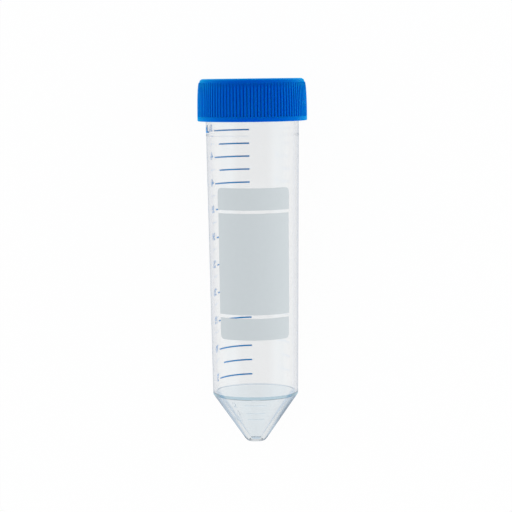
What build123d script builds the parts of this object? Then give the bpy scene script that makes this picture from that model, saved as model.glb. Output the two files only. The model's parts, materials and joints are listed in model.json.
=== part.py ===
from build123d import *
import math
import os

# 50 ml conical tube with a two-start screw cap, lying on its side. All sizes are in millimetres.
# Every piece is drawn upright first, with the foot at z = 0, the axis along +Z and the writing
# panel facing -Y, and is then laid down: the axis points along +Y, rising a little to the cap.

# ---- driving dimensions ----
OVERALL_LENGTH = 115.7

# conical bottom
FOOT_RADIUS = 2.9
FOOT_BEVEL_RADIUS = 3.5
FOOT_BEVEL_HEIGHT = 0.65
CONE_TOP = 15.3
CONE_WALL = 1.2
CONE_FLOOR = 1.0
CONE_FLOOR_RADIUS = 1.6

# tapered barrel
BARREL_MID = 60.0
BARREL_MID_RADIUS = 14.162
BARREL_TAPER = 0.01245
BARREL_WALL = 0.9
SEAM_RING_HEIGHT = 98.1
SEAM_RING_WIDTH = 0.5
SEAM_RING_RISE = 0.08

# neck and mouth
NECK_START = 101.9
NECK_RADIUS = 14.7
RIM = 113.3
RIM_BEVEL = 0.3
MOUTH_RADIUS = 13.75
MOUTH_LENGTH = 7.0

# two-start thread, shared by the neck and the cap
THREAD_LEAD = 6.0
THREAD_STARTS = 2
THREAD_BASE_WIDTH = 1.5
THREAD_CREST_WIDTH = 0.6
THREAD_ROOT = 0.2
THREAD_FIRST_ANGLE = 20.0
NECK_THREAD_HEIGHT = 0.95
NECK_THREAD_FROM = 105.0
NECK_THREAD_TO = 111.6
CAP_THREAD_HEIGHT = 0.85
CAP_THREAD_FROM = 103.9
CAP_THREAD_TO = 111.9
CAP_THREAD_DROP = 1.25

# cap
CAP_BOTTOM = 102.5
CAP_RIM_RADIUS = 17.3
CAP_RIM_BEVEL = 0.3
CAP_SHOULDER_START = 108.0
CAP_SHOULDER_HEIGHT = 113.7
CAP_SHOULDER_RADIUS = 17.0
CAP_EDGE_HEIGHT = 115.2
CAP_EDGE_RADIUS = 16.4
CAP_TOP_RADIUS = 15.7
CAP_BORE_RADIUS = 15.95
CAP_BORE_BEVEL = 0.4
CAP_CEILING = 114.2
GRIP_COUNT = 100
GRIP_BOTTOM = 103.9
GRIP_FLOOR_RADIUS = 16.85
GRIP_GROOVE_WIDTH = 0.56
GRIP_GROOVE_FLOOR_WIDTH = 0.34

# seal ring under the cap's ceiling
SEAL_INNER_RADIUS = 13.2
SEAL_OUTER_RADIUS = 15.7
SEAL_THICKNESS = 0.8
SEAL_PLAY = 0.05

# print: thin fields of ink on the barrel
INK = 0.08
PANEL_HALF_ANGLE = 50.3
PANEL_CORNER = 1.5
PANEL_FIELDS = {"bottom": (34.45, 41.3), "middle": (42.4, 74.15), "top": (75.15, 82.05)}
SCALE_FIRST_VOLUME = 5.0
SCALE_FIRST_HEIGHT = 19.1
SCALE_LAST_VOLUME = 50.0
SCALE_STEP = 2.5
SCALE_NUMBER_STEP = 5.0
SCALE_BORE_RADIUS = 13.387
LINE_WIDTH = 0.48
LINE_START_ANGLE = 4.4
LONG_LINE_END_ANGLE = 63.0
SHORT_LINE_END_ANGLE = 52.2
NUMBER_START_ANGLE = 71.0
NUMBER_HEIGHT = 2.4
NUMBER_WIDTH = 1.15
NUMBER_GAP = 0.65
NUMBER_STROKE = 0.38
LAST_NUMBER_RAISE = 0.9

# raised marks moulded in the cone: volume in ml and height above the foot
CONE_MARKS = {"2": 13.4, "1": 10.5, "0.5": 8.3}
CONE_MARK_HALF_ANGLE = 16.0
CONE_MARK_WIDTH = 0.35
CONE_MARK_RISE = 0.1
CONE_NUMBER_ANGLE = 30.0
CONE_NUMBER_HEIGHT = 1.8
CONE_NUMBER_SCALE = CONE_NUMBER_HEIGHT / NUMBER_HEIGHT

CONE_SLOPE = ((BARREL_MID_RADIUS + BARREL_TAPER * (CONE_TOP - BARREL_MID)) - FOOT_BEVEL_RADIUS) / (
    CONE_TOP - FOOT_BEVEL_HEIGHT
)


def barrel_radius(height):
    """Outside radius of the tapered barrel at a height above the foot."""
    return BARREL_MID_RADIUS + BARREL_TAPER * (height - BARREL_MID)


def cone_radius(height):
    """Outside radius of the conical bottom at a height above the foot."""
    return FOOT_BEVEL_RADIUS + CONE_SLOPE * (height - FOOT_BEVEL_HEIGHT)


def turned(*points):
    """Solid of revolution about Z from a closed outline of (radius, height) points."""
    return revolve(make_face(Plane.XZ * Polyline(*points, close=True)), Axis.Z)


def thread_ridges(radius, rise, bottom, top, first_angle):
    """Helical ridges on a wall of this radius: rise is positive outwards and negative inwards."""
    half_crest = THREAD_CREST_WIDTH / 2
    flank = (THREAD_BASE_WIDTH - THREAD_CREST_WIDTH) / 2 / abs(rise)
    half_root = THREAD_BASE_WIDTH / 2 + flank * THREAD_ROOT
    root = -math.copysign(THREAD_ROOT, rise)
    outline = Polyline((root, -half_root), (rise, -half_crest), (rise, half_crest), (root, half_root), close=True)
    path = Helix(pitch=THREAD_LEAD, height=top - bottom, radius=radius, center=(0, 0, bottom))
    section = Plane(origin=path @ 0, x_dir=(1, 0, 0), z_dir=path % 0) * make_face(outline)
    ridge = sweep(section, path=path, is_frenet=True)
    spacing = 360 / THREAD_STARTS
    return [ridge.rotate(Axis.Z, first_angle + start * spacing) for start in range(THREAD_STARTS)]


# ---- stroke figures for the scale ----
def pen_line(start, end, stroke):
    """Flat straight stroke with round ends."""
    run = Vector(*end) - Vector(*start)
    middle = (Vector(*start) + Vector(*end)) / 2
    turn = math.degrees(math.atan2(run.Y, run.X))
    return Pos(middle) * Rot(0, 0, turn) * SlotCenterToCenter(run.length, stroke)


def pen_arc(centre, radius, start_angle, sweep_angle, stroke):
    """Flat round stroke with round ends."""
    return SlotArc(CenterArc(centre, radius, start_angle, sweep_angle), stroke)


def lower_bowl(width, top, stroke):
    """Bowl of a 3 or a 5, from its top middle round the right side to the lower left."""
    half = width / 2
    bowl = pen_arc((half, top - half), half, 90, -90, stroke) + pen_arc((half, half), half, 0, -150, stroke)
    return bowl + pen_line((width, top - half), (width, half), stroke)


def figure(character, width, height, stroke):
    """One flat figure whose lower left corner is at the origin."""
    half = width / 2
    if character == "0":
        outer = Ellipse(half + stroke / 2, height / 2 + stroke / 2)
        return Pos(half, height / 2) * (outer - Ellipse(half - stroke / 2, height / 2 - stroke / 2))
    if character == "1":
        flag = pen_line((0.2 * width, 0.78 * height), (0.6 * width, height), stroke)
        return flag + pen_line((0.6 * width, height), (0.6 * width, 0), stroke)
    if character == "2":
        bowl = pen_arc((half, height - half), half, 165, -205, stroke)
        heel = pen_line((half * (1 + math.cos(math.radians(-40))), height - half * 1.64), (0, 0), stroke)
        return bowl + heel + pen_line((0, 0), (width, 0), stroke)
    if character == "3":
        upper = pen_arc((half, height - half), half, 150, -240, stroke)
        return upper + lower_bowl(width, height - width, stroke)
    if character == "4":
        stem = pen_line((0.75 * width, 0), (0.75 * width, height), stroke)
        slope = pen_line((0.75 * width, height), (0, 0.3 * height), stroke)
        return stem + slope + pen_line((0, 0.3 * height), (width, 0.3 * height), stroke)
    if character == "5":
        waist = 0.57 * height
        neck = pen_line((0, height), (0, waist), stroke) + pen_line((0, waist), (half, waist), stroke)
        return lower_bowl(width, waist, stroke) + neck + pen_line((0, height), (width, height), stroke)
    if character == "m":
        arch = width / 4
        letter = pen_line((0, 0), (0, 0.6 * height), stroke)
        for centre in (arch, 3 * arch):
            letter += pen_arc((centre, 0.6 * height - arch), arch, 180, -180, stroke)
            letter += pen_line((centre + arch, 0.6 * height - arch), (centre + arch, 0), stroke)
        return letter
    if character == "L":
        stem = pen_line((0.1 * width, height), (0.1 * width, 0), stroke)
        return stem + pen_line((0.1 * width, 0), (0.95 * width, 0), stroke)
    return Pos(half, 0) * Circle(stroke * 0.6)


def figure_row(text, width, height, gap, stroke):
    """Flat figures side by side from the origin, centred on the X axis."""
    row = Sketch()
    for place, character in enumerate(text):
        row += Pos(place * (width + gap), -height / 2) * figure(character, width, height, stroke)
    return row


# ---- moulded body ----
def tube_shell():
    """The moulded body without its thread and raised marks."""
    barrel_inside_bottom = barrel_radius(CONE_TOP) - BARREL_WALL
    inside_offset = CONE_WALL / math.cos(math.atan(CONE_SLOPE))
    cone_inside_top = FOOT_BEVEL_HEIGHT + (barrel_inside_bottom + inside_offset - FOOT_BEVEL_RADIUS) / CONE_SLOPE
    floor_corner = CONE_FLOOR + (CONE_FLOOR_RADIUS - cone_radius(CONE_FLOOR) + inside_offset) / CONE_SLOPE
    mouth_bottom = RIM - MOUTH_LENGTH
    outline = [
        (0, 0),
        (FOOT_RADIUS, 0),
        (FOOT_BEVEL_RADIUS, FOOT_BEVEL_HEIGHT),
        (barrel_radius(CONE_TOP), CONE_TOP),
        (barrel_radius(SEAM_RING_HEIGHT - SEAM_RING_WIDTH / 2), SEAM_RING_HEIGHT - SEAM_RING_WIDTH / 2),
        (barrel_radius(SEAM_RING_HEIGHT) + SEAM_RING_RISE, SEAM_RING_HEIGHT),
        (barrel_radius(SEAM_RING_HEIGHT + SEAM_RING_WIDTH / 2), SEAM_RING_HEIGHT + SEAM_RING_WIDTH / 2),
        (barrel_radius(NECK_START), NECK_START),
        (NECK_RADIUS, NECK_START),
        (NECK_RADIUS, RIM - RIM_BEVEL),
        (NECK_RADIUS - RIM_BEVEL, RIM),
        (MOUTH_RADIUS + RIM_BEVEL, RIM),
        (MOUTH_RADIUS, RIM - RIM_BEVEL),
        (MOUTH_RADIUS, mouth_bottom),
        (barrel_inside_bottom, cone_inside_top),
        (CONE_FLOOR_RADIUS, max(floor_corner, CONE_FLOOR)),
        (0, CONE_FLOOR),
    ]
    return turned(*outline)


def surface_cut(flat, radius, angle, height):
    """Flat figures stood up at an angle round the axis, 0 facing -Y, and pushed outwards as a prism."""
    turn = math.radians(angle)
    outwards = Vector(math.sin(turn), -math.cos(turn), 0)
    along = Vector(math.cos(turn), math.sin(turn), 0)
    reach = 0.6 * radius
    plane = Plane(origin=outwards * reach + Vector(0, 0, height), x_dir=along, z_dir=outwards)
    return extrude(plane * flat, radius)


def cone_skin(rise):
    """Thin skin on the outside of the conical bottom."""
    low, high = FOOT_BEVEL_HEIGHT + 1, CONE_TOP - 0.5
    return turned(
        (cone_radius(low) - THREAD_ROOT, low),
        (cone_radius(low) + rise, low),
        (cone_radius(high) + rise, high),
        (cone_radius(high) - THREAD_ROOT, high),
    )


def cone_marks():
    """Raised lines and numbers moulded in the cone."""
    skin = cone_skin(CONE_MARK_RISE)
    flats = []
    for text, height in CONE_MARKS.items():
        length = 2 * cone_radius(height) * math.sin(math.radians(CONE_MARK_HALF_ANGLE))
        flats.append(skin & surface_cut(Rectangle(length, CONE_MARK_WIDTH), cone_radius(height), 0, height))
        scale = CONE_NUMBER_SCALE
        row = figure_row(
            text, NUMBER_WIDTH * scale, CONE_NUMBER_HEIGHT, NUMBER_GAP * scale, NUMBER_STROKE * scale
        )
        width = row.bounding_box().size.X
        angle = -CONE_NUMBER_ANGLE - math.degrees(width / 2 / cone_radius(height))
        flats.append(skin & surface_cut(Pos(-width / 2, 0) * row, cone_radius(height), angle, height))
    return flats


def make_tube():
    """One-piece moulded body: cone, barrel, threaded neck and raised marks."""
    body = tube_shell()
    for ridge in thread_ridges(NECK_RADIUS, NECK_THREAD_HEIGHT, NECK_THREAD_FROM, NECK_THREAD_TO, THREAD_FIRST_ANGLE):
        body += ridge
    for mark in cone_marks():
        body += mark
    return body


# ---- screw cap ----
def make_cap():
    """One-piece screw cap: rim band, grips, rounded shoulder, flat top and inside thread."""
    body = turned(
        (CAP_BORE_RADIUS + CAP_BORE_BEVEL, CAP_BOTTOM),
        (CAP_RIM_RADIUS - CAP_RIM_BEVEL, CAP_BOTTOM),
        (CAP_RIM_RADIUS, CAP_BOTTOM + CAP_RIM_BEVEL),
        (CAP_RIM_RADIUS, CAP_SHOULDER_START),
        (CAP_SHOULDER_RADIUS, CAP_SHOULDER_HEIGHT),
        (CAP_EDGE_RADIUS, CAP_EDGE_HEIGHT),
        (CAP_TOP_RADIUS, OVERALL_LENGTH),
        (0, OVERALL_LENGTH),
        (0, CAP_CEILING),
        (CAP_BORE_RADIUS, CAP_CEILING),
        (CAP_BORE_RADIUS, CAP_BOTTOM + CAP_BORE_BEVEL),
    )
    depth = CAP_RIM_RADIUS + 1 - GRIP_FLOOR_RADIUS
    flare = (GRIP_GROOVE_WIDTH - GRIP_GROOVE_FLOOR_WIDTH) / (CAP_RIM_RADIUS - GRIP_FLOOR_RADIUS)
    half_floor = GRIP_GROOVE_FLOOR_WIDTH / 2
    half_open = half_floor + flare * depth / 2
    groove_outline = Polyline(
        (GRIP_FLOOR_RADIUS, -half_floor),
        (GRIP_FLOOR_RADIUS + depth, -half_open),
        (GRIP_FLOOR_RADIUS + depth, half_open),
        (GRIP_FLOOR_RADIUS, half_floor),
        close=True,
    )
    groove = extrude(Pos(0, 0, GRIP_BOTTOM) * make_face(groove_outline), OVERALL_LENGTH - GRIP_BOTTOM)
    body -= [groove.rotate(Axis.Z, grip * 360 / GRIP_COUNT) for grip in range(GRIP_COUNT)]
    drop_angle = 360 * CAP_THREAD_DROP / THREAD_LEAD
    climb_angle = 360 * (NECK_THREAD_FROM - CAP_THREAD_FROM) / THREAD_LEAD
    first = THREAD_FIRST_ANGLE + drop_angle - climb_angle
    for ridge in thread_ridges(CAP_BORE_RADIUS, -CAP_THREAD_HEIGHT, CAP_THREAD_FROM, CAP_THREAD_TO, first):
        body += ridge
    return body


def make_seal_ring():
    """Flat soft ring between the tube's rim and the cap's ceiling."""
    top = CAP_CEILING - SEAL_PLAY
    return turned(
        (SEAL_INNER_RADIUS, top - SEAL_THICKNESS),
        (SEAL_OUTER_RADIUS, top - SEAL_THICKNESS),
        (SEAL_OUTER_RADIUS, top),
        (SEAL_INNER_RADIUS, top),
    )


# ---- print on the barrel ----
def barrel_skin(low, high, start_angle, sweep_angle):
    """Ink layer on the barrel between two heights and over a range of angles, 0 facing -Y."""
    section = Polyline(
        (barrel_radius(low), low),
        (barrel_radius(low) + INK, low),
        (barrel_radius(high) + INK, high),
        (barrel_radius(high), high),
        close=True,
    )
    skin = revolve(make_face(Plane.XZ * section), Axis.Z, sweep_angle)
    return skin.rotate(Axis.Z, start_angle - 90)


def panel_corner_cutter(field, low, high):
    """Prism with the panel's rounded outer corners, wider than the panel at its square end."""
    reach = 2 * NECK_RADIUS
    half_width = barrel_radius((low + high) / 2) * math.sin(math.radians(PANEL_HALF_ANGLE))
    slant = BARREL_TAPER * math.sin(math.radians(PANEL_HALF_ANGLE)) * (high - low) / 2
    outline = make_face(
        Polyline(
            (-half_width + slant, low),
            (half_width - slant, low),
            (half_width + slant, high),
            (-half_width - slant, high),
            close=True,
        )
    )
    corners = outline.vertices().sort_by(Axis.Y)
    rounded = {"top": corners[2:], "bottom": corners[:2], "middle": []}[field]
    if rounded:
        outline = fillet(rounded, PANEL_CORNER)
    return extrude(Plane(origin=(0, 0, 0), x_dir=(1, 0, 0), z_dir=(0, -1, 0)) * outline, reach)


def make_writing_panel():
    """Three printed fields that face -Y."""
    fields = []
    for field, (low, high) in PANEL_FIELDS.items():
        skin = barrel_skin(low, high, -PANEL_HALF_ANGLE, 2 * PANEL_HALF_ANGLE)
        if field != "middle":
            skin = skin & panel_corner_cutter(field, low, high)
        fields += skin.solids()
    return fields


def scale_height(volume):
    """Height above the foot of the line for a volume in ml, from the taper of the bore."""
    slope = BARREL_TAPER
    bore = SCALE_BORE_RADIUS + slope * (SCALE_FIRST_HEIGHT - BARREL_MID)
    filled = (volume - SCALE_FIRST_VOLUME) * 1000
    radius = (bore**3 + 3 * slope * filled / math.pi) ** (1 / 3)
    return SCALE_FIRST_HEIGHT + (radius - bore) / slope


def scale_volumes():
    """Volumes in ml that have a line."""
    count = round((SCALE_LAST_VOLUME - SCALE_FIRST_VOLUME) / SCALE_STEP)
    return [SCALE_FIRST_VOLUME + step * SCALE_STEP for step in range(count + 1)]


def make_graduation_lines():
    """Printed lines round the back of the barrel: a long one at each number, short ones between."""
    lines = []
    for volume in scale_volumes():
        height = scale_height(volume)
        numbered = volume % SCALE_NUMBER_STEP == 0
        end = LONG_LINE_END_ANGLE if numbered else SHORT_LINE_END_ANGLE
        low, high = height - LINE_WIDTH / 2, height + LINE_WIDTH / 2
        skin = barrel_skin(low, high, 180 + LINE_START_ANGLE, end - LINE_START_ANGLE)
        lines += skin.solids()
    return lines


def make_graduation_numbers():
    """Printed numbers beside the long lines, read from behind, with the unit after the last one."""
    numbers = []
    whole_barrel = barrel_skin(CONE_TOP + 0.5, NECK_START - 0.2, 180, 180)
    for volume in scale_volumes():
        if volume % SCALE_NUMBER_STEP:
            continue
        height = scale_height(volume)
        radius = barrel_radius(height)
        text = f"{volume:.0f}"
        if volume == SCALE_LAST_VOLUME:
            text += "mL"
            height += LAST_NUMBER_RAISE
        for place, character in enumerate(text):
            row = figure(character, NUMBER_WIDTH, NUMBER_HEIGHT, NUMBER_STROKE)
            middle = (NUMBER_STROKE + NUMBER_WIDTH) / 2 + place * (NUMBER_WIDTH + NUMBER_GAP)
            angle = 180 + NUMBER_START_ANGLE + math.degrees(middle / radius)
            flat = Pos(-NUMBER_WIDTH / 2, -NUMBER_HEIGHT / 2) * row
            inked = whole_barrel & surface_cut(flat, radius, angle, height)
            numbers += inked.solids()
    return numbers


# ---- laying the tube down ----
# It rests on the top edge of the cone and on the lower edge of the cap's rim band.
LYING_TILT = math.degrees(
    math.atan(
        (CAP_RIM_RADIUS - barrel_radius(CONE_TOP)) / (CAP_BOTTOM + CAP_RIM_BEVEL - CONE_TOP)
    )
)
LAID_DOWN = Rot(LYING_TILT - 90, 0, 0)

pieces = {
    "tube": make_tube().solids(),
    "cap": make_cap().solids(),
    "seal_ring": make_seal_ring().solids(),
    "writing_panel": make_writing_panel(),
    "graduation_lines": make_graduation_lines(),
    "graduation_numbers": make_graduation_numbers(),
}
laid = {name: Compound([LAID_DOWN * solid for solid in solids]) for name, solids in pieces.items()}
lowest = Vector(*(min(getattr(shape.bounding_box().min, axis) for shape in laid.values()) for axis in "XYZ"))
highest = Vector(*(max(getattr(shape.bounding_box().max, axis) for shape in laid.values()) for axis in "XYZ"))
MIDDLE_OF_LENGTH = (lowest.Y + highest.Y) / 2
TO_FLOOR = Pos(0, -MIDDLE_OF_LENGTH, -lowest.Z)

os.makedirs("parts", exist_ok=True)
for name, shape in laid.items():
    export_step(TO_FLOOR * shape, f"parts/{name}.step")
    print(f"{name}: {len(shape.solids())} solids")
print(f"tilt {LYING_TILT:.3f} degrees, foot at y = {-MIDDLE_OF_LENGTH:.3f}, axis height {-lowest.Z:.3f}")
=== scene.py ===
"""A 50 ml conical tube with a two-start screw cap, lying on its side.

Every piece is modelled upright and in millimetres, with the foot of the tube at the origin, its
axis along +Z and its writing panel facing -Y. ``Placement`` then lays the piece down where the
CAD frame holds the tube, in metres. The finishes belong to the lying pieces, so they count in
metres, and what they call along the tube is the frame's +Y, from the foot to the cap.
"""

from __future__ import annotations

import json
import logging
import math
from collections.abc import Callable, Sequence
from dataclasses import dataclass
from enum import Enum
from typing import Any

import bmesh
import bpy
from bpy.types import Material, Mesh, Node, NodeSocket, NodeTree, Object
from mathutils import Matrix, Vector

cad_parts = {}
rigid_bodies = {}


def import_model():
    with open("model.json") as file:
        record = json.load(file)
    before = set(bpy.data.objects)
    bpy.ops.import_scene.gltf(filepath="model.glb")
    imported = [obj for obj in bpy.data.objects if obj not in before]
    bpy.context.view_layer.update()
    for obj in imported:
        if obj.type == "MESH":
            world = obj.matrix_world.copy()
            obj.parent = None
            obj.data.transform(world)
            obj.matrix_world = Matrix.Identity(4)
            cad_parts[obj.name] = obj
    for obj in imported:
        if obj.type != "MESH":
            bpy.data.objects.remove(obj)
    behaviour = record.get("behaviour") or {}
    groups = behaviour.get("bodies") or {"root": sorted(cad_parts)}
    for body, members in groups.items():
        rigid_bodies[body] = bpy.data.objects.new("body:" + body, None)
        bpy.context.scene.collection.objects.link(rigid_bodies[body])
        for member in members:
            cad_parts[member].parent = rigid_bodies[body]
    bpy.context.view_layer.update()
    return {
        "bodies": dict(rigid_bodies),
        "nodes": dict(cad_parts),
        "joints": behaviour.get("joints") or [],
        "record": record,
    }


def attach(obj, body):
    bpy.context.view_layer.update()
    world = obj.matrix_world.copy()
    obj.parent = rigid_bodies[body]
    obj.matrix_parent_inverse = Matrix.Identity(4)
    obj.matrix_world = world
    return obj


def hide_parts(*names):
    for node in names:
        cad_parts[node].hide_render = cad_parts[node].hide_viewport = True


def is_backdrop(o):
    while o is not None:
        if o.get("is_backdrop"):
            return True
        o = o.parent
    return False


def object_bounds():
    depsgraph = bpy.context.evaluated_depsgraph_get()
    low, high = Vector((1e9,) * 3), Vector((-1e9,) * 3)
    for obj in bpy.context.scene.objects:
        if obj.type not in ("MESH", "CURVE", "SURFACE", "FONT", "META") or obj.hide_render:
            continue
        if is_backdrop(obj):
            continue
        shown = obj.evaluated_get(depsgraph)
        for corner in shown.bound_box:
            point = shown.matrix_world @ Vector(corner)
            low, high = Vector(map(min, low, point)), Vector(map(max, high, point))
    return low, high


LOG = logging.getLogger("conical_tube")

METRE = 1000.0
"""Millimetres in a metre."""

SMOOTH_ANGLE = math.radians(32.0)
"""Edges that turn by more than this are drawn sharp."""

EQUAL_WITHIN = 0.5
"""Whole numbers that are closer than this are equal."""

NEGLIGIBLE = 1e-6
"""A length in millimetres that counts as none."""

Outline = list[tuple[float, float]]
"""Points of (radius, height)."""

Relief = Callable[[float, float, float], float]
"""Gives the radius to add at a radius, a height and an angle of a turned surface."""

Wall = Callable[[float, float, float], Vector]
"""Takes a point across, a point up and a lift off a wall to its place in the upright frame."""

Colour = tuple[int, int, int]
Paint = Colour | NodeSocket
Sockets = dict[str | int, Any]

WHITE: Colour = (255, 255, 255)


# ---- Placement ----


@dataclass(frozen=True)
class Placement:
    """Where the upright tube lies in the CAD frame.

    Attributes:
        matrix: Takes a point from the upright tube, in millimetres, to the frame, in metres.
    """

    matrix: Matrix

    @classmethod
    def from_frame(cls, frame: dict[str, Any]) -> Placement:
        """Reads the tube's axis from the screw joint and its foot from the CAD tube.


        Returns:
            The placement of the lying tube, with its panel upwards.
        """
        screw = next(joint for joint in frame["joints"] if joint["name"] == "cap_turn")
        axis = Vector(screw["axis"]).normalized()
        on_axis = Vector(screw["pos_m"])
        vertices = frame["nodes"]["tube"].data.vertices
        foot = min((vertex.co - on_axis).dot(axis) for vertex in vertices)
        sideways = Vector((1.0, 0.0, 0.0))
        turn = Matrix((sideways, axis.cross(sideways), axis)).transposed().to_4x4()
        return cls(Matrix.Translation(on_axis + axis * foot) @ turn @ Matrix.Scale(1 / METRE, 4))

    def lay(self, mesh: Mesh) -> None:
        """Lays an upright mesh down in the frame."""
        mesh.transform(self.matrix)
        mesh.update()


# ---- Outlines and meshes ----


@dataclass(frozen=True)
class Corner:
    """A corner of a turned outline, in millimetres.

    Attributes:
        radius: Distance from the axis.
        height: Height above the foot.
        rounding: Radius of the arc that rounds the corner, 0 for a sharp one.
    """

    radius: float
    height: float
    rounding: float = 0.0

    @property
    def at(self) -> Vector:
        """The corner's place in the outline."""
        return Vector((self.radius, self.height))


def rounded(corners: Sequence[Corner], steps: int = 6) -> Outline:
    """Outline through corners, each rounded by an arc.

    Args:
        corners: The corners in order, the first and last of them sharp.
        steps: Stretches in each arc.

    Returns:
        Points of (radius, height).
    """
    points: Outline = [tuple(corners[0].at)]
    for before, corner, after in zip(corners, corners[1:], corners[2:]):
        at = corner.at
        if corner.rounding == 0:
            points.append(tuple(at))
            continue
        back = (before.at - at).normalized()
        ahead = (after.at - at).normalized()
        half = back.angle(ahead) / 2
        centre = at + (back + ahead).normalized() * corner.rounding / math.sin(half)
        start = at + back * corner.rounding / math.tan(half) - centre
        end = at + ahead * corner.rounding / math.tan(half) - centre
        turn = start.angle(end)
        for step in range(steps + 1):
            share = step / steps
            first, second = math.sin((1 - share) * turn), math.sin(share * turn)
            spoke = (start * first + end * second) / math.sin(turn)
            points.append((centre.x + spoke.x, centre.y + spoke.y))
    points.append(tuple(corners[-1].at))
    return points


def stepped(start: tuple[float, float], end: tuple[float, float], length: float) -> Outline:
    """Points along a straight stretch of an outline, both ends included.

    Args:
        start: First (radius, height).
        end: Last (radius, height).
        length: Longest distance between two points, in millimetres.

    Returns:
        Evenly spaced points.
    """
    count = max(1, math.ceil(math.dist(start, end) / length))
    return [
        tuple(first + (last - first) * step / count for first, last in zip(start, end))
        for step in range(count + 1)
    ]


def lathe(name: str, outline: Outline, segments: int, relief: Relief) -> Mesh:
    """Closed turned mesh about the Z axis.

    Args:
        name: Name of the mesh.
        outline: Points of (radius, height). An outline that starts on the axis also ends there,
            and any other is closed from its last point to its first.
        segments: Columns round the axis.
        relief: What stands on the surface.

    Returns:
        The mesh, with its faces outwards.
    """
    shape = bmesh.new()
    rows: list[list[bmesh.types.BMVert]] = []
    for radius, height in outline:
        if radius < NEGLIGIBLE:
            rows.append([shape.verts.new((0.0, 0.0, height))])
            continue
        row = []
        for column in range(segments):
            angle = 2 * math.pi * column / segments
            reach = radius + relief(radius, height, angle)
            place = (reach * math.cos(angle), reach * math.sin(angle), height)
            row.append(shape.verts.new(place))
        rows.append(row)
    pairs = list(zip(rows, rows[1:]))
    if len(rows[0]) > 1:
        pairs.append((rows[-1], rows[0]))
    for lower, upper in pairs:
        if len(lower) == len(upper) == 1:
            continue
        for column in range(segments):
            following = (column + 1) % segments
            ring = [lower[column % len(lower)], lower[following % len(lower)]]
            ring += [upper[following % len(upper)], upper[column % len(upper)]]
            shape.faces.new(list(dict.fromkeys(ring)))
    bmesh.ops.recalc_face_normals(shape, faces=shape.faces)
    return baked(shape, name)


def baked(shape: bmesh.types.BMesh, name: str) -> Mesh:
    """Turns an edited shape into a mesh and frees it.

    Args:
        shape: The shape, which can't be used afterwards.
        name: Name of the mesh.

    Returns:
        The mesh, shaded smooth except over sharp edges.
    """
    mesh = bpy.data.meshes.new(name)
    shape.to_mesh(mesh)
    shape.free()
    shade(mesh)
    return mesh


def shade(mesh: Mesh) -> None:
    """Shades a mesh smooth except over its sharp edges."""
    mesh.shade_smooth()
    mesh.set_sharp_from_angle(angle=SMOOTH_ANGLE)


def added(name: str, mesh: Mesh, material: Material | None = None) -> Object:
    """Puts a mesh in the scene as an object at the origin.

    Args:
        name: Name of the piece.
        mesh: Its mesh.
        material: Its finish.

    Returns:
        The object.
    """
    if material is not None:
        mesh.materials.clear()
        mesh.materials.append(material)
    piece = bpy.data.objects.new(name, mesh)
    bpy.context.scene.collection.objects.link(piece)
    return piece


def assembled(
    name: str, meshes: Sequence[Mesh], placement: Placement, material: Material
) -> Object:
    """Joins upright meshes to one piece and lays it down in the frame.

    Args:
        name: Name of the piece.
        meshes: The meshes, which are removed.
        placement: Where the tube lies.
        material: Finish of the piece.

    Returns:
        The piece.
    """
    shape = bmesh.new()
    for mesh in meshes:
        shape.from_mesh(mesh)
        bpy.data.meshes.remove(mesh)
    whole = baked(shape, name)
    placement.lay(whole)
    return added(name, whole, material)


# ---- Shader and geometry trees ----


def srgb(colour: Colour) -> tuple[float, float, float, float]:
    """Scene colour of a display colour.

    Args:
        colour: Red, green and blue from 0 to 255.

    Returns:
        Linear red, green, blue and an alpha of 1.
    """
    shares = (level / 255 for level in colour)
    red, green, blue = (
        share / 12.92 if share <= 0.04045 else ((share + 0.055) / 1.055) ** 2.4 for share in shares
    )
    return (red, green, blue, 1.0)


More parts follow.
